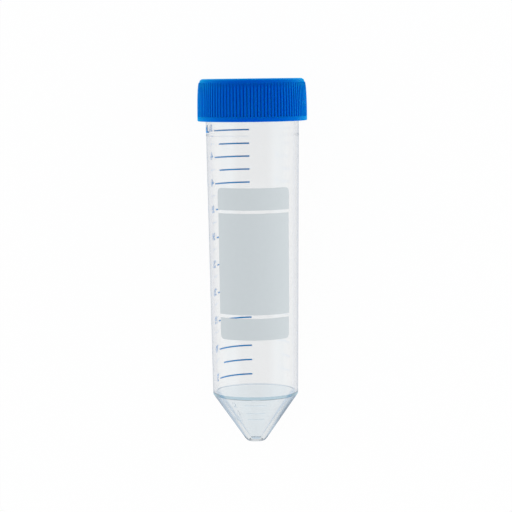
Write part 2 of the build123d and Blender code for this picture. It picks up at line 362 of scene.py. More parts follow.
class Tree:
    """Builds a node tree one node at a time."""

    def __init__(self, nodes: NodeTree) -> None:
        """Starts on a shader or geometry tree."""
        self.tree = nodes

    def node(self, kind: str, sockets: Sockets | None = None, **settings: Any) -> Node:
        """Adds a node.

        Args:
            kind: Blender's type name of the node.
            sockets: Value or output socket for each input, by name or place.
            **settings: Properties of the node.

        Returns:
            The node.
        """
        made = self.tree.nodes.new(kind)
        for key, value in settings.items():
            setattr(made, key, value)
        for key, value in (sockets or {}).items():
            if isinstance(value, NodeSocket):
                self.tree.links.new(value, made.inputs[key])
            else:
                made.inputs[key].default_value = value
        return made

    def out(self, kind: str, sockets: Sockets | None = None, **settings: Any) -> NodeSocket:
        """Adds a node, as ``node`` does, and returns its first output."""
        return self.node(kind, sockets, **settings).outputs[0]

    def sum(self, operation: str, *terms: Any) -> NodeSocket:
        """Adds a Math node on numbers or sockets, and returns its result."""
        return self.out("ShaderNodeMath", dict(enumerate(terms)), operation=operation)

    def vector(self, operation: str, *terms: Any) -> NodeSocket:
        """Adds a Vector Math node and returns its result, a number for a length or dot product."""
        made = self.node("ShaderNodeVectorMath", dict(enumerate(terms)), operation=operation)
        return made.outputs["Value" if operation in ("LENGTH", "DOT_PRODUCT") else "Vector"]

    def xyz(self, **parts: Any) -> NodeSocket:
        """Adds a vector made of its X, Y and Z, 0 for those left out."""
        return self.out("ShaderNodeCombineXYZ", parts)

    def mix(self, share: NodeSocket, first: Paint, second: Paint) -> NodeSocket:
        """Adds a colour mix.

        Args:
            share: Share of the second colour.
            first: Display colour or socket.
            second: Display colour or socket.

        Returns:
            The mixed colour.
        """
        ends = [end if isinstance(end, NodeSocket) else srgb(end) for end in (first, second)]
        sockets = {"Factor": share, 6: ends[0], 7: ends[1]}
        return self.node("ShaderNodeMix", sockets, data_type="RGBA").outputs[2]

    def ramp(
        self, value: NodeSocket, low: float, high: float, top: float = 1.0, kind: str = "SMOOTHSTEP"
    ) -> NodeSocket:
        """Adds a step that rises from 0.

        Args:
            value: What it goes by.
            low: Value where it starts.
            high: Value where it is full.
            top: What it rises to.
            kind: Blender's name of its form.

        Returns:
            The step's height.
        """
        sockets = {"Value": value, "From Min": low, "From Max": high, "To Max": top}
        return self.out("ShaderNodeMapRange", sockets, interpolation_type=kind)

    def noise(self, place: NodeSocket, size: float, detail: float) -> NodeSocket:
        """Adds noise from 0 to 1 with features of a size in metres."""
        sockets = {"Vector": place, "Scale": 1 / size, "Detail": detail}
        return self.out("ShaderNodeTexNoise", sockets)


class GeometryTree(Tree):
    """A Geometry Nodes tree with named sizes, used once on one piece."""

    def __init__(self, name: str) -> None:
        """Makes the tree, with a geometry to take in and one to give."""
        super().__init__(bpy.data.node_groups.new(name, "GeometryNodeTree"))
        for way in ("INPUT", "OUTPUT"):
            self.tree.interface.new_socket("Geometry", in_out=way, socket_type="NodeSocketGeometry")
        self.entry = self.tree.nodes.new("NodeGroupInput")
        self.values: dict[str, float] = {}

    def size(self, name: str, value: float) -> NodeSocket:
        """Adds a named input.

        Args:
            name: Its name.
            value: What the piece sets it to. A whole number makes a whole-number input.

        Returns:
            The socket to read it from.
        """
        kind = "NodeSocketInt" if isinstance(value, int) else "NodeSocketFloat"
        item = self.tree.interface.new_socket(name, in_out="INPUT", socket_type=kind)
        self.values[item.identifier] = value
        return self.entry.outputs[name]

    def swept(self, path: NodeSocket, section: NodeSocket) -> NodeSocket:
        """Adds a section swept along a path and closed at both ends."""
        curves = {"Curve": path, "Profile Curve": section, "Fill Caps": True}
        return self.out("GeometryNodeCurveToMesh", curves)

    def joined(self, *parts: NodeSocket) -> NodeSocket:
        """Adds a join.

        Args:
            *parts: The geometries to join.

        Returns:
            All of them as one.
        """
        join = self.node("GeometryNodeJoinGeometry")
        for part in parts:
            self.tree.links.new(part, join.inputs[0])
        return join.outputs[0]

    def run(self, piece: Object, result: NodeSocket, material: Material) -> None:
        """Ends the tree, runs it on a piece and keeps the result as the piece's plain mesh.

        Args:
            piece: The piece, whose own mesh is the tree's input geometry.
            result: The geometry to show.
            material: The finish of the result.
        """
        real = self.out("GeometryNodeRealizeInstances", {"Geometry": result})
        dressed = self.out("GeometryNodeSetMaterial", {"Geometry": real, "Material": material})
        self.node("NodeGroupOutput", {0: dressed})
        modifier = piece.modifiers.new(self.tree.name, "NODES")
        modifier.node_group = self.tree
        for identifier, value in self.values.items():
            modifier[identifier] = value
        graph = bpy.context.evaluated_depsgraph_get()
        mesh = bpy.data.meshes.new_from_object(piece.evaluated_get(graph))
        piece.modifiers.remove(modifier)
        piece.data = mesh
        shade(mesh)


# ---- Finishes ----


def new_material(name: str) -> tuple[Material, Tree]:
    """Makes an empty material.

    Args:
        name: Name of the material.

    Returns:
        The material and its tree, which still needs an output node.
    """
    material = bpy.data.materials.new(name)
    material.use_nodes = True
    material.node_tree.nodes.clear()
    return material, Tree(material.node_tree)


@dataclass(frozen=True)
class Edge:
    """Tint of a clear wall where it turns away: partly the longer path through its thickness,
    partly painted shade along its outline.

    Attributes:
        tint: Display colour that it passes on.
        start: Where the edge starts, from 0 for a wall seen squarely to 1 for one seen edge-on.
        full: Where it is full, on the same scale.
    """

    tint: Colour
    start: float
    full: float

    def over(self, tree: Tree, turned: NodeSocket, wall: NodeSocket) -> NodeSocket:
        """Adds the edge to a wall's colour, by how far the wall is turned away."""
        return tree.mix(tree.ramp(turned, self.start, self.full), wall, self.tint)


@dataclass(frozen=True)
class Band:
    """A stretch along the tube that gets a painted tint.

    Attributes:
        low: Where it starts, in metres.
        high: Where it ends.
        tint: Display colour that it passes on.
    """

    low: float
    high: float
    tint: Colour

    def share(self, tree: Tree, along: NodeSocket) -> NodeSocket:
        """Adds a socket that is 1 in the band and 0 elsewhere."""
        above = tree.sum("GREATER_THAN", along, self.low)
        return tree.sum("MULTIPLY", above, tree.sum("LESS_THAN", along, self.high))


@dataclass(frozen=True)
class ClearPlastic:
    """Natural polypropylene that lets light through, with a faint cool tint and haze, and with
    painted light and shade.

    Attributes:
        tint: Display colour that a wall passes on where it is seen squarely.
        turned_tint: Display colour that it passes on edge-on.
        barrel_edge: Edge of the barrel.
        far_cone_shade: Painted shade: display colour that the cone's far wall passes on, darker
            than the near wall's.
        cone_edge: Edge of the cone, much darker than the barrel's: painted shade.
        cone_top: Where the cone's tints end, in metres along the tube.
        cone_blend: Length over which they fade out.
        painted_light_ring: Near side of the corner between cone and barrel, which lets light
            straight on in a pale tint: painted light.
        painted_shade_arc: Far side of that corner, painted darker: painted shade.
        deep: Display colour that light takes in a long way through the plastic.
        depth: How strongly it does, per metre.
        roughness: Haze of the surface.
        refraction: Index of refraction.
        direct: Ray depth below which light has met nothing yet.
        past_wall: Ray depth above which it has passed the near wall.
        most_turns: Ray depth above which the haze lets it straight out.
    """

    name: str = "clear_polypropylene"
    tint: Colour = WHITE
    turned_tint: Colour = (252, 252, 252)
    # Painted shade along the outlines, beyond what the longer path through the wall gives.
    barrel_edge: Edge = Edge((248, 248, 253), 0.62, 0.67)
    far_cone_shade: Colour = (241, 246, 249)
    cone_edge: Edge = Edge((174, 201, 228), 0.54, 0.7)
    cone_top: float = -0.0422
    cone_blend: float = 0.0003
    painted_light_ring: Band = Band(-0.04312, -0.04222, (224, 236, 242))
    painted_shade_arc: Band = Band(-0.04192, -0.04168, (186, 202, 218))
    deep: Colour = (192, 197, 198)
    depth: float = 90.0
    roughness: float = 0.004
    refraction: float = 1.49
    direct: float = 0.5
    past_wall: float = 1.5
    most_turns: float = 4.5

    def wall(self, tree: Tree, along: NodeSocket, far: NodeSocket) -> NodeSocket:
        """Adds the colour that a wall passes on, with the painted shade of the cone's far wall and
        arc.

        Args:
            tree: The material's tree.
            along: Socket of the place along the tube.
            far: Socket that is 1 for a far wall and 0 for a near one.

        Returns:
            The colour.
        """
        turned = tree.node("ShaderNodeLayerWeight").outputs["Facing"]
        barrel = tree.mix(turned, self.tint, self.turned_tint)
        barrel = self.barrel_edge.over(tree, turned, barrel)
        # Painted shade: the cone's far wall passes on a darker tint than its near wall.
        cone = self.cone_edge.over(tree, turned, tree.mix(far, self.tint, self.far_cone_shade))
        in_cone = tree.ramp(along, self.cone_top + self.cone_blend, self.cone_top)
        # Painted shade: the far wall is darker in a narrow arc at the cone's corner.
        in_arc = tree.sum("MULTIPLY", self.painted_shade_arc.share(tree, along), far)
        return tree.mix(in_arc, tree.mix(in_cone, barrel, cone), self.painted_shade_arc.tint)

    def material(self) -> Material:
        """Makes the material.

        Returns:
            The material, which bends light at its surface and tints it in its thickness.
        """
        material, tree = new_material(self.name)
        place = tree.node("ShaderNodeTexCoord").outputs["Object"]
        along = tree.node("ShaderNodeSeparateXYZ", {0: place}).outputs["Y"]
        path = tree.node("ShaderNodeLightPath").outputs
        far = tree.sum("GREATER_THAN", path["Ray Depth"], self.past_wall)
        bent = tree.out(
            "ShaderNodeBsdfPrincipled",
            {
                "Base Color": self.wall(tree, along, far),
                "Roughness": self.roughness,
                "IOR": self.refraction,
                "Transmission Weight": 1.0,
            },
        )
        # Painted light: at the near side of the cone's corner, and where the inside is seen, camera
        # rays pass straight on in a pale tint.
        inside = tree.node("ShaderNodeNewGeometry").outputs["Backfacing"]
        in_ring = tree.sum("MAXIMUM", self.painted_light_ring.share(tree, along), inside)
        direct = tree.sum("LESS_THAN", path["Ray Depth"], self.direct)
        painted_light_ring = tree.sum("MULTIPLY", direct, in_ring)
        passed = tree.mix(painted_light_ring, self.tint, self.painted_light_ring.tint)
        straight = tree.out("ShaderNodeBsdfTransparent", {"Color": passed})
        trapped = tree.sum("GREATER_THAN", path["Ray Depth"], self.most_turns)
        let_out = tree.sum("MAXIMUM", path["Is Shadow Ray"], trapped)
        let_out = tree.sum("MAXIMUM", let_out, painted_light_ring)
        surface = tree.out("ShaderNodeMixShader", {0: let_out, 1: bent, 2: straight})
        takes_in = {"Color": srgb(self.deep), "Density": self.depth}
        thickness = tree.out("ShaderNodeVolumeAbsorption", takes_in)
        tree.node("ShaderNodeOutputMaterial", {"Surface": surface, "Volume": thickness})
        return material


@dataclass(frozen=True)
class Hollows:
    """Painted shade: a deeper colour near the axis of a ribbed wall, where less light comes in.

    Attributes:
        colour: Display colour of the painted shade at the bottom of the grooves.
        floor_radius: Radius of the bottom of the grooves, in metres.
        crest_radius: Radius of the crests.
        length: How far the grooves run up the axis from its point.
        fade: Length over which they run out.
        beyond: What the rest of the wall counts as, from 0 for a groove to 1 for a crest, so that
            below 1 it gets part of the painted shade.
        axis_point: A point on the wall's axis, in metres.
        axis: Direction of the axis.
    """

    colour: Colour
    floor_radius: float
    crest_radius: float
    length: float
    fade: float
    beyond: float
    axis_point: tuple[float, float, float]
    axis: tuple[float, float, float]

    def share(self, tree: Tree, place: NodeSocket) -> NodeSocket:
        """Adds the nodes that tell crest from groove, for the painted shade.

        Args:
            tree: The material's tree.
            place: Socket of the place on the object.

        Returns:
            A socket that is 0 in the grooves and 1 on the crests.
        """
        off = tree.vector("SUBTRACT", place, self.axis_point)
        radius = tree.vector("LENGTH", tree.vector("CROSS_PRODUCT", off, self.axis))
        along = tree.vector("DOT_PRODUCT", off, self.axis)
        end = self.length + self.fade
        crest = tree.ramp(radius, self.floor_radius, self.crest_radius, kind="LINEAR")
        past = tree.ramp(along, self.length, end, top=self.beyond, kind="LINEAR")
        return tree.sum("MAXIMUM", crest, past)


@dataclass(frozen=True)
class SolidFinish:
    """An opaque moulded or printed surface whose colour varies a little from place to place.

    Attributes:
        colour: Display colour of most of the surface.
        patch: Display colour of the patches.
        patch_size: Size of the patches in metres.
        patch_detail: Octaves of the patches.
        roughness: Lowest roughness of the surface.
        roughness_spread: How much the patches add to it.
        grain: Size in metres of the surface grain.
        grain_depth: Strength of the grain.
        grain_height: Height of the grain, as a share of its size.
        grain_detail: Octaves of the grain.
        gloss: Strength of the reflections, 0.5 for plain plastic.
        gloss_tint: Display colour of the reflections.
        glow: How much light passes under the skin, from 0 to 1.
        glow_reach: How far its red, green and blue pass, in metres.
        sheen: Strength of the soft light on surfaces that turn away, from 0 to 1.
        sheen_roughness: How far that light spreads towards the middle.
        sheen_tint: Its display colour.
        groove_shade: Painted shade in the grooves, where the surface has any.
    """

    name: str
    colour: Colour
    patch: Colour
    patch_size: float
    roughness: float
    roughness_spread: float
    grain: float
    grain_depth: float
    patch_detail: float = 3.0
    grain_height: float = 0.1
    grain_detail: float = 2.0
    gloss: float = 0.5
    gloss_tint: Colour = WHITE
    glow: float = 0.0
    glow_reach: tuple[float, float, float] = (0.001, 0.001, 0.001)
    sheen: float = 0.0
    sheen_roughness: float = 0.6
    sheen_tint: Colour = WHITE
    groove_shade: Hollows | None = None

    def material(self) -> Material:
        """Makes the material.

        Returns:
            The material.
        """
        material, tree = new_material(self.name)
        place = tree.node("ShaderNodeTexCoord").outputs["Object"]
        patches = tree.noise(place, self.patch_size, self.patch_detail)
        grain = {
            "Height": tree.noise(place, self.grain, self.grain_detail),
            "Strength": self.grain_depth,
            "Distance": self.grain * self.grain_height,
        }
        base = tree.mix(patches, self.colour, self.patch)
        # Painted shade: the grooves take a darker colour where less light reaches them.
        if self.groove_shade:
            base = tree.mix(self.groove_shade.share(tree, place), self.groove_shade.colour, base)
        rough = tree.sum("MULTIPLY_ADD", patches, self.roughness_spread, self.roughness)
        surface = tree.out(
            "ShaderNodeBsdfPrincipled",
            {
                "Base Color": base,
                "Roughness": rough,
                "Normal": tree.out("ShaderNodeBump", grain),
                "Specular IOR Level": self.gloss,
                "Specular Tint": srgb(self.gloss_tint),
                "Subsurface Weight": self.glow,
                "Subsurface Radius": self.glow_reach,
                "Subsurface Scale": 1.0,
                "Sheen Weight": self.sheen,
                "Sheen Roughness": self.sheen_roughness,
                "Sheen Tint": srgb(self.sheen_tint),
            },
        )
        tree.node("ShaderNodeOutputMaterial", {"Surface": surface})
        return material


CAP_BLUE = SolidFinish(
    name="blue_polyethylene",
    colour=(0, 56, 190),
    patch=(0, 62, 198),
    patch_size=0.004,
    roughness=0.46,
    roughness_spread=0.08,
    grain=0.0003,
    grain_depth=0.08,
    gloss=0.02,
    gloss_tint=(0, 160, 255),
    glow=0.6,
    glow_reach=(0.0001, 0.0001, 0.0008),
    sheen=1.0,
    sheen_roughness=0.66,
    sheen_tint=(0, 206, 255),
    # Painted shade in the cap's grooves, and in part over its shoulder past the ribs.
    groove_shade=Hollows(
        colour=(0, 0, 166),
        floor_radius=0.01686,
        crest_radius=0.01704,
        length=0.0058,
        fade=0.0008,
        beyond=0.65,
        axis_point=(0.0, 0.049835, 0.017504),
        axis=(0.0, 0.9991098, 0.04218544),
    ),
)
PANEL_GREY = SolidFinish(
    name="panel_ink",
    colour=(205, 211, 213),
    patch=(208, 214, 216),
    patch_size=0.0015,
    roughness=0.62,
    roughness_spread=0.1,
    grain=0.00012,
    grain_depth=0.1,
    gloss=0.05,
)
# The scale's blue is lighter than the ink's own: painted light that makes up for the little light
# reaching the ink through the wall.
SCALE_BLUE = SolidFinish(
    name="scale_ink",
    colour=(0, 164, 244),
    patch=(0, 170, 250),
    patch_size=0.0009,
    roughness=0.5,
    roughness_spread=0.1,
    grain=0.0001,
    grain_depth=0.05,
)
SEAL_RUBBER = SolidFinish(
    name="seal_rubber",
    colour=(228, 227, 220),
    patch=(222, 220, 212),
    patch_size=0.002,
    roughness=0.6,
    roughness_spread=0.12,
    grain=0.0002,
    grain_depth=0.1,
)


# ---- Flat drawings laid on a round wall ----

SUNK = 0.012
"""How far the back of a drawing lies inside the wall, in millimetres."""

BAR_STEP = 0.5
"""Longest stretch of a bar between two bends, in millimetres."""

LEAST_BAR_STEPS = 4

TEXT_STEP = 0.45
"""Longest stretch of a text between two bends, in millimetres."""

TEXT_RESOLUTION = 3
"""Stretches in each curve of a letter."""

MERGE_DISTANCE = 1e-5
"""Points of a letter closer than this are one."""


def on_wall(
    radius: Callable[[float], float],
    height: float = 0.0,
    angle: float = 0.0,
    stretch: float = 1.0,
    spread: float | None = None,
) -> Wall:
    """Way to lay a flat drawing on a round wall.

    Args:
        radius: Radius of the wall at a height above the foot.
        height: Height of the drawing's origin.
        angle: Angle of its origin from -Y, in degrees.
        stretch: How much wider the drawing gets.
        spread: Radius that it is bent to, if not the wall's at each height.

    Returns:
        What takes a point of the drawing to its place.
    """

    def place(across: float, up: float, lift: float) -> Vector:
        """Place of one point of the drawing."""
        wall = radius(height + up)
        turn = math.radians(angle) + stretch * across / (spread or wall)
        reach = wall + lift
        return Vector((reach * math.sin(turn), -reach * math.cos(turn), height + up))

    return place


def flat_bar(length: float, width: float) -> bmesh.types.BMesh:
    """Flat bar in the XY plane, centred on the origin.

    Args:
        length: Its length along X.
        width: Its width along Y.

    Returns:
        The shape.
    """
    shape = bmesh.new()
    count = max(LEAST_BAR_STEPS, math.ceil(length / BAR_STEP))
    columns = [-length / 2 + length * step / count for step in range(count + 1)]
    edges = (-width / 2, width / 2)
    low, high = ([shape.verts.new((x, y, 0.0)) for x in columns] for y in edges)
    for step in range(count):
        shape.faces.new((low[step], low[step + 1], high[step + 1], high[step]))
    return shape


def flat_text(text: str, height: float, weight: float = 0.0) -> bmesh.types.BMesh:
    """Flat figures in the XY plane, centred on the origin and sliced to bend round a wall.

    Args:
        text: The figures.
        height: Height of a figure in millimetres.
        weight: How far its strokes are thickened, as a share of the type size.

    Returns:
        The shape.
    """
    curve = bpy.data.curves.new(text, "FONT")
    curve.body = text
    curve.resolution_u = TEXT_RESOLUTION
    curve.offset = weight
    holder = bpy.data.objects.new(text, curve)
    bpy.context.scene.collection.objects.link(holder)
    graph = bpy.context.evaluated_depsgraph_get()
    mesh = bpy.data.meshes.new_from_object(holder.evaluated_get(graph))
    bpy.data.objects.remove(holder)
    bpy.data.curves.remove(curve)
    shape = bmesh.new()
    shape.from_mesh(mesh)
    bpy.data.meshes.remove(mesh)
    bmesh.ops.remove_doubles(shape, verts=shape.verts, dist=MERGE_DISTANCE)
    xs = [vertex.co.x for vertex in shape.verts]
    ys = [vertex.co.y for vertex in shape.verts]
    scale = height / (max(ys) - min(ys))
    middle = Vector(((min(xs) + max(xs)) / 2, (min(ys) + max(ys)) / 2, 0.0))
    for vertex in shape.verts:
        vertex.co = (vertex.co - middle) * scale
    half = (max(xs) - min(xs)) * scale / 2
    slices = math.ceil(2 * half / TEXT_STEP)
    across = Vector((1.0, 0.0, 0.0))
    for step in range(1, slices):
        cut = Vector((-half + 2 * half * step / slices, 0.0, 0.0))
        every = [*shape.verts, *shape.edges, *shape.faces]
        bmesh.ops.bisect_plane(shape, geom=every, plane_co=cut, plane_no=across)
    return shape


def text_width(shape: bmesh.types.BMesh) -> float:
    """Width of a flat drawing in millimetres."""
    xs = [vertex.co.x for vertex in shape.verts]
    return max(xs) - min(xs)


def wrapped(shape: bmesh.types.BMesh, thickness: float, place: Wall) -> Mesh:
    """Gives a flat drawing a thickness and lays it on a round wall.

    Args:
        shape: Flat drawing in the XY plane, which is used up.
        thickness: How far it stands off the wall.
        place: How it lies on the wall.

    Returns:
        The closed mesh.
    """
    front = list(shape.faces)
    copy = bmesh.ops.duplicate(shape, geom=[*shape.verts, *shape.edges, *front])
    back_of = copy["vert_map"]
    fronts = set(front)
    single = [edge for edge in shape.edges if len(edge.link_faces) == 1]
    for edge in [edge for edge in single if edge.link_faces[0] in fronts]:
        first, second = edge.verts
        shape.faces.new((first, second, back_of[second], back_of[first]))
    backs = {back_of[vertex] for face in front for vertex in face.verts}
    for vertex in shape.verts:
        vertex.co = place(vertex.co.x, vertex.co.y, -SUNK if vertex in backs else thickness)
    bmesh.ops.recalc_face_normals(shape, faces=shape.faces)
    return baked(shape, "wrapped")


# ---- The tube ----


@dataclass(frozen=True)
class Thread:
    """A right-hand thread that stands on a turned wall, in millimetres.

    Attributes:
        bottom: Height where the ridges start.
        top: Height where they end.
        first_angle: Angle in degrees from +X where the first ridge starts.
        rise: How far the ridges stand off the wall, negative inwards.
        lead: Height gained in a turn.
        starts: How many ridges there are.
        base: Width of a ridge at the wall.
        crest: Width of a ridge at its top.
        fade: Height over which a ridge runs out at its ends.
    """

    bottom: float
    top: float
    first_angle: float
    rise: float
    lead: float = 6.0
    starts: int = 2
    base: float = 1.5
    crest: float = 0.6
    fade: float = 0.25

    def relief(self, height: float, angle: float) -> float:
        """How far the thread moves the wall at one place.

        Args:
            height: Height above the foot.
            angle: Angle from +X in radians.

        Returns:
            Radius to add.
        """
        pitch = self.lead / self.starts
        along = self.lead * (math.degrees(angle) - self.first_angle) / 360
        off = (height - self.bottom - along + pitch / 2) % pitch - pitch / 2
        centre = height - off
        inside = min((centre - self.bottom) / self.fade, (self.top - centre) / self.fade)
        flank = (self.base / 2 - abs(off)) / ((self.base - self.crest) / 2)
        return self.rise * min(max(inside, 0.0), 1.0) * min(max(flank, 0.0), 1.0)


@dataclass
class TubeBody:
    """The clear one-piece moulding: cone, tapered barrel, threaded neck and raised cone marks.

    Lengths are in millimetres and angles in degrees. The seam is the fine ring under the cap.
    Marks stand on the front of the cone, with their numbers to the left.
    """

    foot_radius: float = 2.9
    foot_bevel_radius: float = 3.5
    foot_bevel_height: float = 0.65
    foot_rounding: float = 0.3
    cone_top: float = 15.3
    cone_top_rounding: float = 0.12
    cone_wall: float = 1.2
    cone_floor: float = 1.0
    cone_floor_radius: float = 1.6
    cone_floor_rounding: float = 0.7
    barrel_mid: float = 60.0
    barrel_mid_radius: float = 14.162
    taper: float = 0.01245
    barrel_wall: float = 0.9
    seam_height: float = 98.1
    seam_width: float = 0.5
    seam_rise: float = 0.08
    seam_rounding: float = 0.3
    neck_start: float = 101.9
    neck_radius: float = 14.7
    rim: float = 113.3
    rim_bevel: float = 0.3
    mouth_radius: float = 13.75
    mouth_length: float = 7.0
    mouth_rounding: float = 3.0
    edge_rounding: float = 0.2
    segments: int = 192
    thread: Thread = Thread(bottom=105.0, top=111.6, first_angle=20.0, rise=0.95)
    thread_step: float = 0.14
    cone_marks: tuple[tuple[str, float], ...] = (("2", 13.4), ("1", 10.5), ("0.5", 8.3))
    mark_half_angle: float = 16.0
    mark_width: float = 0.35
    mark_rise: float = 0.25
    mark_number_angle: float = 30.0
    mark_number_height: float = 1.8

    def barrel_radius(self, height: float) -> float:
        """Outside radius of the barrel at a height."""
        return self.barrel_mid_radius + self.taper * (height - self.barrel_mid)

    @property
    def cone_slope(self) -> float:
        """Radius that the cone gains per millimetre of height."""
        gained = self.barrel_radius(self.cone_top) - self.foot_bevel_radius
        return gained / (self.cone_top - self.foot_bevel_height)

    def cone_radius(self, height: float) -> float:
        """Outside radius of the cone at a height."""
        return self.foot_bevel_radius + self.cone_slope * (height - self.foot_bevel_height)

    def outline(self) -> Outline:
        """Outline of the moulding, up the outside and down the inside.

        Returns:
            Points of (radius, height).
        """
        barrel, soft = self.barrel_radius, self.edge_rounding
        seam_low = self.seam_height - self.seam_width / 2
        seam_high = self.seam_height + self.seam_width / 2
        seam_crest = barrel(self.seam_height) + self.seam_rise
        outside = rounded(
            [
                Corner(0.0, 0.0),
                Corner(self.foot_radius, 0.0, soft),
                Corner(self.foot_bevel_radius, self.foot_bevel_height, self.foot_rounding),
                Corner(barrel(self.cone_top), self.cone_top, self.cone_top_rounding),
                Corner(barrel(seam_low), seam_low, soft),
                Corner(seam_crest, self.seam_height, self.seam_rounding),
                Corner(barrel(seam_high), seam_high, soft),
                Corner(barrel(self.neck_start), self.neck_start),
            ]
        )
        neck_top = self.rim - self.rim_bevel
        neck_low, neck_high = (self.neck_radius, self.neck_start), (self.neck_radius, neck_top)
        inset = self.cone_wall / math.cos(math.atan(self.cone_slope))
        bore = barrel(self.cone_top) - self.barrel_wall
        inner = bore + inset - self.foot_bevel_radius
        bore_low = self.foot_bevel_height + inner / self.cone_slope
        gap = self.cone_floor_radius - self.cone_radius(self.cone_floor) + inset
        floor_edge = max(self.cone_floor, self.cone_floor + gap / self.cone_slope)
        inside = rounded(
            [
                Corner(self.neck_radius, neck_top),
                Corner(self.neck_radius, self.rim, self.rim_bevel),
                Corner(self.mouth_radius, self.rim, self.rim_bevel),
                Corner(self.mouth_radius, self.rim - self.mouth_length, self.mouth_rounding),
                Corner(bore, bore_low, soft),
                Corner(self.cone_floor_radius, floor_edge, self.cone_floor_rounding),
                Corner(0.0, self.cone_floor),
            ]
        )
        return outside + stepped(neck_low, neck_high, self.thread_step) + inside[1:]

    def relief(self, radius: float, height: float, angle: float) -> float:
        """Thread on the outside of the neck and nothing elsewhere."""
        on_neck = radius > self.neck_radius - NEGLIGIBLE and height > self.neck_start
        return self.thread.relief(height, angle) if on_neck else 0.0

    def marks(self) -> list[Mesh]:
        """The raised lines and numbers on the cone.

        Returns:
            A closed mesh for each.
        """
        meshes = []
        for text, height in self.cone_marks:
            radius = self.cone_radius(height)
            line = flat_bar(2 * radius * math.radians(self.mark_half_angle), self.mark_width)
            figures = flat_text(text, self.mark_number_height)
            middle = -self.mark_number_angle - math.degrees(text_width(figures) / 2 / radius)
            for drawing, angle in ((line, 0.0), (figures, middle)):
                place = on_wall(self.cone_radius, height, angle, spread=radius)
                meshes.append(wrapped(drawing, self.mark_rise, place))
        return meshes

    def build(self, placement: Placement, material: Material) -> Object:
        """Makes the clear moulding.

        Args:
            placement: Where the tube lies.
            material: Its finish.

        Returns:
            The piece, riding on the tube.
        """
        shell = lathe("tube_body", self.outline(), self.segments, self.relief)
        piece = assembled("tube_body", [shell, *self.marks()], placement, material)
        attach(piece, "tube")
        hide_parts("tube")
        return piece


# ---- The cap and its seal ----


